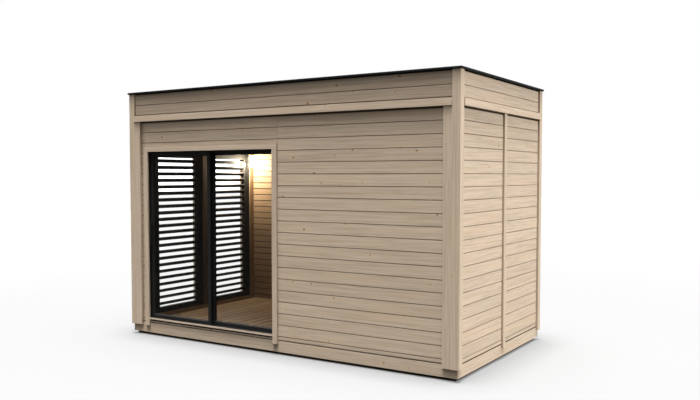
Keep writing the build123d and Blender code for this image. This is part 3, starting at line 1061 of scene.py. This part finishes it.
def build_ceiling(seed):
    """Build the roof panel with boards along the room's ceiling."""
    sizes = bpy.context.scene.sauna_sizes
    low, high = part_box("roof_panel")
    board_top = low.z + sizes.lining_thickness
    mesh = PieceMesh(seed)
    # Above the ceiling boards the core shows in their joints, dark with painted shade
    mesh.slab((low.x, high.x), (low.y, high.y), (board_top, high.z), X, finish=SECOND)
    for front, back in courses(low.y, high.y, low.y + sizes.floor_cover, sizes.floor_cover):
        mesh.slab((low.x, high.x), (front + sizes.lining_gap / 2, back - sizes.lining_gap / 2),
                  (low.z, board_top), X, sizes.lining_chamfer)
    settle(mesh.build("ceiling_boards", "lining_wood", "core_wood"), "ceiling_timber", "roof_panel")


def build_fascia(name, node, finish, seed):
    """Build a fascia from two boards, one above the other, with a groove between them."""
    sizes = bpy.context.scene.sauna_sizes
    mesh = PieceMesh(seed)
    for low, high in solid_boxes(node):
        along = longest(low, high)
        joint = low.z + sizes.board_cover
        lower = (low.z + sizes.rail_joint, joint - sizes.board_gap / 2)
        upper = (joint + sizes.board_gap / 2, high.z - sizes.vent_gap)
        for run in (lower, upper):
            mesh.slab((low.x, high.x), (low.y, high.y), run, along, sizes.board_chamfer)
    settle(mesh.build(name, finish), "cladding", node)


# Roof: its raised rim and the rim's eased edge, how deep the sheet lies in it, and the flat seams
ROOF_RIM = 0.045
RIM_EASE = 0.003
SHEET_DEPTH = 0.008
SEAM_WIDTH = 0.08
SEAM_HEIGHT = 0.0025
SEAM_EASE = SEAM_HEIGHT / 3


def build_roof_sheet(seed):
    """Build the black sheet in its raised edge trim, with flat seams between its widths."""
    low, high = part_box("roof_cover")
    sheet_top = high.z - SHEET_DEPTH
    mesh = PieceMesh(seed)
    mesh.ring(low, high, Z, [(RIM_EASE, low.z), (0.0, low.z + RIM_EASE), (0.0, high.z - RIM_EASE),
                             (RIM_EASE, high.z), (ROOF_RIM - RIM_EASE, high.z), (ROOF_RIM, high.z - RIM_EASE),
                             (ROOF_RIM, sheet_top), (ROOF_RIM, low.z)])
    left, right = low.x + ROOF_RIM, high.x - ROOF_RIM
    depth = (low.y + ROOF_RIM, high.y - ROOF_RIM)
    mesh.slab((left, right), depth, (low.z, sheet_top), X)
    count = round((high.x - low.x) / bpy.context.scene.sauna_sizes.seam_pitch)
    for number in range(1, count):
        middle = left + number * (right - left) / count
        mesh.slab((middle - SEAM_WIDTH / 2, middle + SEAM_WIDTH / 2), depth,
                  (sheet_top, sheet_top + SEAM_HEIGHT), Y, SEAM_EASE)
    settle(mesh.build("roof_sheet", "roof_membrane"), "roof_skin", "roof_cover")


class SAUNA_OT_roof(bpy.types.Operator):
    """Build the ceiling, the fascia with its rails and the sheet on top."""

    bl_idname = "sauna.roof"
    bl_label = "Roof"

    def execute(self, context):
        build_ceiling(seed=62)
        build_fascia("fascia_front_and_back", "fascia_long_boards", "cladding_wood", seed=63)
        build_fascia("fascia_ends", "fascia_end_boards", "side_cladding_wood", seed=64)
        plain_boards("rails_under_fascia", "fascia_rails", "trim_wood", "trim_timber", seed=65)
        build_roof_sheet(seed=61)
        return {"FINISHED"}


# Door

# Section of a leaf's bar: its width, the groove for the glass and the channel that runs on the track
LEAF_BAR = 0.042
GLASS_REBATE = 0.010
GLASS_DEPTH = 0.024
CHANNEL_WIDTH = 0.018
CHANNEL_DEPTH = 0.018

# Thickness of a pane, reach of its seals and width of the ribs that guide the sliding leaf
PANE = 0.005
SEAL = 0.005
RIB_WIDTH = 0.008

# Handle: the thickness of its bar, and the radii and steps of its outer and inner corners
HANDLE_BAR = 0.010
HANDLE_OUTER = 0.008
HANDLE_INNER = 0.004
HANDLE_STEPS = 6


def build_ribbed(name, node, flat_z, rib_z):
    """Build the track or the head of the door frame, with the rib that guides the sliding leaf."""
    low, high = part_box(node)
    ease = bpy.context.scene.sauna_sizes.metal_ease
    leaf_low, leaf_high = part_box("sliding_leaf_frame")
    middle = (leaf_low.y + leaf_high.y) / 2
    left, right = middle - RIB_WIDTH / 2, middle + RIB_WIDTH / 2
    away = low.z if rib_z > flat_z else high.z
    lean = math.copysign(ease, rib_z - flat_z)
    outline = [(low.y, away), (low.y, flat_z - lean), (low.y + ease, flat_z), (left, flat_z),
               (left, rib_z - lean), (left + ease, rib_z), (right - ease, rib_z), (right, rib_z - lean),
               (right, flat_z), (high.y - ease, flat_z), (high.y, flat_z - lean), (high.y, away)]
    mesh = PieceMesh()
    mesh.prism(outline, X, low.x, high.x)
    settle(mesh.build(name, "door_coat"), "door_metal", node)


def leaf_profile(front, back, ease, channel):
    """Give the section of a leaf's bar: eased faces, a groove for the glass and an outer channel."""
    middle = (front + back) / 2
    glass_front, glass_back = middle - GLASS_DEPTH / 2, middle + GLASS_DEPTH / 2
    bottom = LEAF_BAR - GLASS_REBATE
    profile = [(ease, front), (LEAF_BAR - ease, front), (LEAF_BAR, front + ease), (LEAF_BAR, glass_front),
               (bottom, glass_front), (bottom, glass_back), (LEAF_BAR, glass_back), (LEAF_BAR, back - ease),
               (LEAF_BAR - ease, back), (ease, back), (0.0, back - ease)]
    if channel:
        left, right = middle - CHANNEL_WIDTH / 2, middle + CHANNEL_WIDTH / 2
        profile += [(0.0, right), (CHANNEL_DEPTH, right), (CHANNEL_DEPTH, left), (0.0, left)]
    return profile + [(0.0, front + ease)]


def build_leaf(kind, body, channel):
    """Build a leaf: its frame, two panes with a spacer between them and the seals on both faces."""
    low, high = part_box(f"{kind}_frame")
    ease = bpy.context.scene.sauna_sizes.metal_ease
    mesh = PieceMesh()
    mesh.ring(low, high, Y, leaf_profile(low.y, high.y, ease, channel))
    settle(mesh.build(f"{kind}_bars", "door_coat"), "door_metal", f"{kind}_frame", body=body)

    glass_low, glass_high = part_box(f"{kind}_glass")
    mesh = PieceMesh()
    for front, back in ((glass_low.y, glass_low.y + PANE), (glass_high.y - PANE, glass_high.y)):
        mesh.slab((glass_low.x, glass_high.x), (front, back), (glass_low.z, glass_high.z), Z, ease / 2)
    settle(mesh.build(f"{kind}_panes", "clear_pane"), "door_glass", f"{kind}_glass", body=body)

    edge = LEAF_BAR + SEAL
    mesh = PieceMesh()
    mesh.ring(low, high, Y, [(LEAF_BAR - GLASS_REBATE, glass_low.y + PANE), (edge, glass_low.y + PANE),
                             (edge, glass_high.y - PANE), (LEAF_BAR - GLASS_REBATE, glass_high.y - PANE)])
    for face, out in ((glass_low.y, -1), (glass_high.y, 1)):
        mesh.ring(low, high, Y, [(LEAF_BAR, face), (edge, face), (edge - ease, face + out * SEAL / 2),
                                 (LEAF_BAR, face + out * SEAL)])
    settle(mesh.build(f"{kind}_seals", "seal_rubber"), "door_metal", body=body)


def build_handle():
    """Build the pull handle, a flat bow with rounded corners."""
    low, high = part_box("sliding_leaf_handle")
    outer, inner = HANDLE_OUTER, HANDLE_BAR + HANDLE_INNER
    above, below = math.pi / 2, math.pi
    outline = [(high.y, high.z)]
    outline += quarter_arc(low.y + outer, high.z - outer, HANDLE_OUTER, above, HANDLE_STEPS)
    outline += quarter_arc(low.y + outer, low.z + outer, HANDLE_OUTER, below, HANDLE_STEPS)
    outline += [(high.y, low.z), (high.y, low.z + HANDLE_BAR)]
    outline += quarter_arc(low.y + inner, low.z + inner, HANDLE_INNER, below, HANDLE_STEPS)[::-1]
    outline += quarter_arc(low.y + inner, high.z - inner, HANDLE_INNER, above, HANDLE_STEPS)[::-1]
    outline.append((high.y, high.z - HANDLE_BAR))
    mesh = PieceMesh()
    mesh.prism(outline, X, low.x, high.x)
    piece = mesh.build("sliding_leaf_pull", "door_coat")
    eased = bmesh.new()
    eased.from_mesh(piece.data)
    rims = [edge for edge in eased.edges if edge.calc_face_angle(0.0) > SMOOTH_ANGLE
            and abs(edge.verts[0].co.x - edge.verts[1].co.x) < WELD]
    bmesh.ops.bevel(eased, geom=rims, offset=bpy.context.scene.sauna_sizes.metal_ease, segments=2,
                    affect="EDGES", clamp_overlap=True)
    eased.to_mesh(piece.data)
    eased.free()
    settle(smooth(piece), "door_metal", "sliding_leaf_handle", body=LEAF)


class SAUNA_OT_door(bpy.types.Operator):
    """Build the door frame, its track, both leaves and the handle."""

    bl_idname = "sauna.door"
    bl_label = "Sliding door"

    def execute(self, context):
        fixed_low, fixed_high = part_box("fixed_leaf_frame")
        plain_boards("door_jamb_bars", "door_frame_jambs", "door_coat", "door_metal",
                     ease=context.scene.sauna_sizes.metal_ease)
        build_ribbed("door_head_bar", "door_frame_head", fixed_high.z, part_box("door_frame_head")[0].z)
        build_ribbed("door_track_bar", "door_track", fixed_low.z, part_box("door_track")[1].z)
        build_leaf("fixed_leaf", CABIN, False)
        build_leaf("sliding_leaf", LEAF, True)
        build_handle()
        return {"FINISHED"}


# Louvres

# Louvred panel: its frame, and its blades with their tilt, their tenons and their rounded edges
LOUVRE_STILE = 0.060
LOUVRE_RAIL = 0.060
BLADE_COUNT = 23
BLADE_WIDTH = 0.052
BLADE_THICKNESS = 0.014
BLADE_TILT = math.radians(40.0)
BLADE_TENON = 0.006
BLADE_ROUND = 0.002
BLADE_STEPS = 2


def blade_outline(middle_x, middle_z):
    """Give the tilted section of a blade: flat faces and rounded edges, the outer edge low."""
    half_width, half_height = BLADE_WIDTH / 2 - BLADE_ROUND, BLADE_THICKNESS / 2 - BLADE_ROUND
    section = []
    for number, (side, rise) in enumerate(((1, 1), (-1, 1), (-1, -1), (1, -1))):
        section += quarter_arc(side * half_width, rise * half_height, BLADE_ROUND, number * math.pi / 2,
                               BLADE_STEPS)
    cos, sin = math.cos(BLADE_TILT), math.sin(BLADE_TILT)
    return [(middle_x + along * cos - up * sin, middle_z + along * sin + up * cos) for along, up in section]


def build_louvre(node):
    """Build a louvred panel: an eased frame with tilted blades let into its stiles."""
    low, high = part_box(node)
    sizes = bpy.context.scene.sauna_sizes
    ease = sizes.metal_ease
    mesh = PieceMesh()
    mesh.ring(low, high, X, [(ease, low.x), (LOUVRE_STILE - ease, low.x), (LOUVRE_STILE, low.x + ease),
                             (LOUVRE_STILE, high.x - ease), (LOUVRE_STILE - ease, high.x), (ease, high.x),
                             (0.0, high.x - ease), (0.0, low.x + ease)])
    bottom, top = low.z + LOUVRE_RAIL, high.z - LOUVRE_RAIL
    pitch = (top - bottom) / BLADE_COUNT
    middle_x = (low.x + high.x) / 2
    for number in range(BLADE_COUNT):
        outline = blade_outline(middle_x, bottom + (number + 0.5) * pitch)
        mesh.prism(outline, Y, low.y + LOUVRE_STILE - BLADE_TENON, high.y - LOUVRE_STILE + BLADE_TENON)
    lap, foot = sizes.louvre_flange, FLOOR_TOP + sizes.skirting_height
    flange = (-ROOM_X, sizes.flange_thickness - ROOM_X)
    for upright_ends in ((low.y - lap, low.y + lap / 2), (high.y - lap / 2, high.y + lap)):
        mesh.slab(flange, upright_ends, (foot, high.z), Z, ease)
    mesh.slab(flange, (low.y - lap, high.y + lap), (high.z, high.z + lap), Y, ease)
    settle(smooth(mesh.build(f"{node}_blades", "louvre_coat")), "louvre_metal", node)


class SAUNA_OT_louvres(bpy.types.Operator):
    """Build both louvred panels."""

    bl_idname = "sauna.louvres"
    bl_label = "Louvres"

    def execute(self, context):
        build_louvre("louvre_panel_front")
        build_louvre("louvre_panel_back")
        return {"FINISHED"}


# Lamp

# Lamp: the thickness of its caps, how far the shade stands back from them, and the steps of its curve
LAMP_CAP = 0.010
SHADE_INSET = 0.004
SHADE_STEPS = 16

# Where its light lies: off the left wall, off the back wall and above the lamp's foot, and how much of the
# lamp's radius it takes
LIGHT_OFF = (0.045, 0.240, 0.030)
LIGHT_SHARE = 0.25


class SAUNA_OT_lamp(bpy.types.Operator):
    """Build the corner lamp: an opal quarter drum between two timber caps, and its light."""

    bl_idname = "sauna.lamp"
    bl_label = "Corner lamp"

    def execute(self, context):
        low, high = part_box("corner_lamp")
        radius = high.x - low.x
        corner = (low.x, high.y)

        def quarter(size):
            return [corner, *quarter_arc(*corner, size, -math.pi / 2, SHADE_STEPS)]

        mesh = PieceMesh()
        mesh.prism(quarter(radius - SHADE_INSET), Z, low.z + LAMP_CAP, high.z - LAMP_CAP)
        mesh.prism(quarter(radius), Z, low.z, low.z + LAMP_CAP, finish=SECOND)
        mesh.prism(quarter(radius), Z, high.z - LAMP_CAP, high.z, finish=SECOND)
        piece = smooth(mesh.build("corner_lamp_shade", "opal_shade", "lining_wood"))
        piece.visible_shadow = False
        settle(piece, "lamp_shade", "corner_lamp")
        light = bpy.data.lights.new("corner_lamp_light", "POINT")
        light.energy = context.scene.sauna_stage.lamp_power
        light.color = context.scene.sauna_finishes.lamp
        light.shadow_soft_size = radius * LIGHT_SHARE
        lamp = new_object("corner_lamp_light", light)
        lamp.location = (corner[0] + LIGHT_OFF[0], corner[1] - LIGHT_OFF[1], low.z + LIGHT_OFF[2])
        return {"FINISHED"}


# Stage

WHITE = (1.0, 1.0, 1.0, 1.0)

# Floor: its reach, its colour near the cabin and far off, where the one fades into the other, and its colour
# for the light that it throws back
FLOOR_REACH = 60.0
SEEN_FLOOR = (0.097, 0.108)
FADE_REACH = (4.0, 14.0)
BOUNCE_FLOOR = 0.02

# Each light of the stage: where it shines from and how wide it is
STAGE_LIGHTS = {
    "top": (Vector((0.0, -0.012, 1.0)), math.radians(50.0)),
    "zenith": (Vector((0.0, -0.012, 1.0)), math.radians(18.0)),
    "front": (Vector((0.06, -0.50, 0.864)), math.radians(50.0)),
    "key": (Vector((0.89, 0.36, 0.28)), math.radians(40.0)),
    "fill": (Vector((-0.70, 0.62, 0.36)), math.radians(60.0)),
}


def seen_apart(tree, thrown, shown):
    """Give one shader to the light that is thrown back, and another to what the camera sees."""
    seen = ray_share(tree, "Is Camera Ray", "Is Transmission Ray")
    choice = {0: seen, 1: thrown.outputs[0], 2: shown.outputs[0]}
    return put(tree, "ShaderNodeMixShader", choice).outputs[0]


def pale_floor():
    """Make the floor: pale, lifted towards white for the camera, with its shadows, and white far off."""
    material = bpy.data.materials.new("pale_floor")
    tree = cleared_tree(material)
    place = put(tree, "ShaderNodeTexCoord").outputs["Object"]
    away = put(tree, "ShaderNodeVectorMath", {0: place}, operation="LENGTH").outputs["Value"]
    fade = remapped(tree, away, *FADE_REACH)
    pale = mixed(tree, fade, solid([SEEN_FLOOR[0]] * 3), solid([SEEN_FLOOR[1]] * 3))
    lit = put(tree, "ShaderNodeBsdfDiffuse", {"Color": pale})
    dim = put(tree, "ShaderNodeBsdfDiffuse", {"Color": solid([BOUNCE_FLOOR] * 3)})
    glow = put(tree, "ShaderNodeEmission", {"Color": WHITE, "Strength": 1.0})
    lifted = put(tree, "ShaderNodeMixShader", {0: bpy.context.scene.sauna_stage.floor_glow,
                 1: lit.outputs[0], 2: glow.outputs[0]})
    put(tree, "ShaderNodeOutputMaterial", {"Surface": seen_apart(tree, dim, lifted)})
    return material


def white_world(scene):
    """Light the stage evenly from all round, and show plain white behind it."""
    world = bpy.data.worlds.new("white_world")
    tree = cleared_tree(world)
    light = put(tree, "ShaderNodeBackground", {"Color": WHITE, "Strength": scene.sauna_stage.sky})
    white = put(tree, "ShaderNodeBackground", {"Color": WHITE, "Strength": 1.0})
    put(tree, "ShaderNodeOutputWorld", {"Surface": seen_apart(tree, light, white)})
    scene.world = world


class SAUNA_OT_stage(bpy.types.Operator):
    """Set the floor, the light and the camera."""

    bl_idname = "sauna.stage"
    bl_label = "Stage"

    def execute(self, context):
        scene = context.scene
        settings = scene.sauna_stage
        scene.view_settings.view_transform = "Standard"
        white_world(scene)

        mesh = bpy.data.meshes.new("stage_floor")
        corners = [(x * FLOOR_REACH, y * FLOOR_REACH, 0.0) for x, y in ((-1, -1), (1, -1), (1, 1), (-1, 1))]
        mesh.from_pydata(corners, [], [(0, 1, 2, 3)])
        mesh.materials.append(pale_floor())
        floor = new_object("stage_floor", mesh)

        for name, (shines_from, spread) in STAGE_LIGHTS.items():
            light = bpy.data.lights.new(f"{name}_light", "SUN")
            light.energy = getattr(settings, name)
            light.angle = spread
            lamp = new_object(f"{name}_light", light)
            lamp.rotation_euler = shines_from.to_track_quat("Z", "Y").to_euler()

        lens = bpy.data.cameras.new("main_camera")
        lens.lens = settings.lens
        lens.sensor_fit = "HORIZONTAL"
        lens.shift_y = settings.shift
        camera = new_object("main_camera", lens)
        camera.location = settings.eye
        camera.rotation_euler = (math.pi / 2 - settings.pitch, 0.0, settings.yaw)
        scene.camera = camera
        return {"FINISHED"}


# Sidebar and registration

OPERATORS = (SAUNA_OT_base, SAUNA_OT_walls, SAUNA_OT_trim, SAUNA_OT_room_trim, SAUNA_OT_roof, SAUNA_OT_door,
             SAUNA_OT_louvres, SAUNA_OT_lamp, SAUNA_OT_stage)
SETTINGS = {"sauna_sizes": SaunaSizes, "sauna_finishes": SaunaFinishes, "sauna_stage": SaunaStage}


class SAUNA_PT_builder(bpy.types.Panel):
    """List the build steps and their settings in the sidebar."""

    bl_idname = "SAUNA_PT_builder"
    bl_label = "Outdoor sauna"
    bl_space_type = "VIEW_3D"
    bl_region_type = "UI"
    bl_category = "Sauna"

    def draw(self, context):
        for operator in OPERATORS:
            self.layout.operator(operator.bl_idname)
        for name, group in SETTINGS.items():
            box = self.layout.box()
            for setting in group.__annotations__:
                box.prop(getattr(context.scene, name), setting)


def register():
    """Register the settings, the operators and the panel."""
    for name, group in SETTINGS.items():
        bpy.utils.register_class(group)
        setattr(bpy.types.Scene, name, bpy.props.PointerProperty(type=group))
    for made in (*OPERATORS, SAUNA_PT_builder):
        bpy.utils.register_class(made)


def unregister():
    """Remove what register added."""
    for made in (SAUNA_PT_builder, *reversed(OPERATORS)):
        bpy.utils.unregister_class(made)
    for name, group in SETTINGS.items():
        delattr(bpy.types.Scene, name)
        bpy.utils.unregister_class(group)


def main():
    """Build the sauna step by step."""
    register()
    bpy.ops.sauna.base()
    bpy.ops.sauna.walls()
    bpy.ops.sauna.trim()
    bpy.ops.sauna.room_trim()
    bpy.ops.sauna.roof()
    bpy.ops.sauna.door()
    bpy.ops.sauna.louvres()
    bpy.ops.sauna.lamp()
    bpy.ops.sauna.stage()


if __name__ == "__main__":
    main()
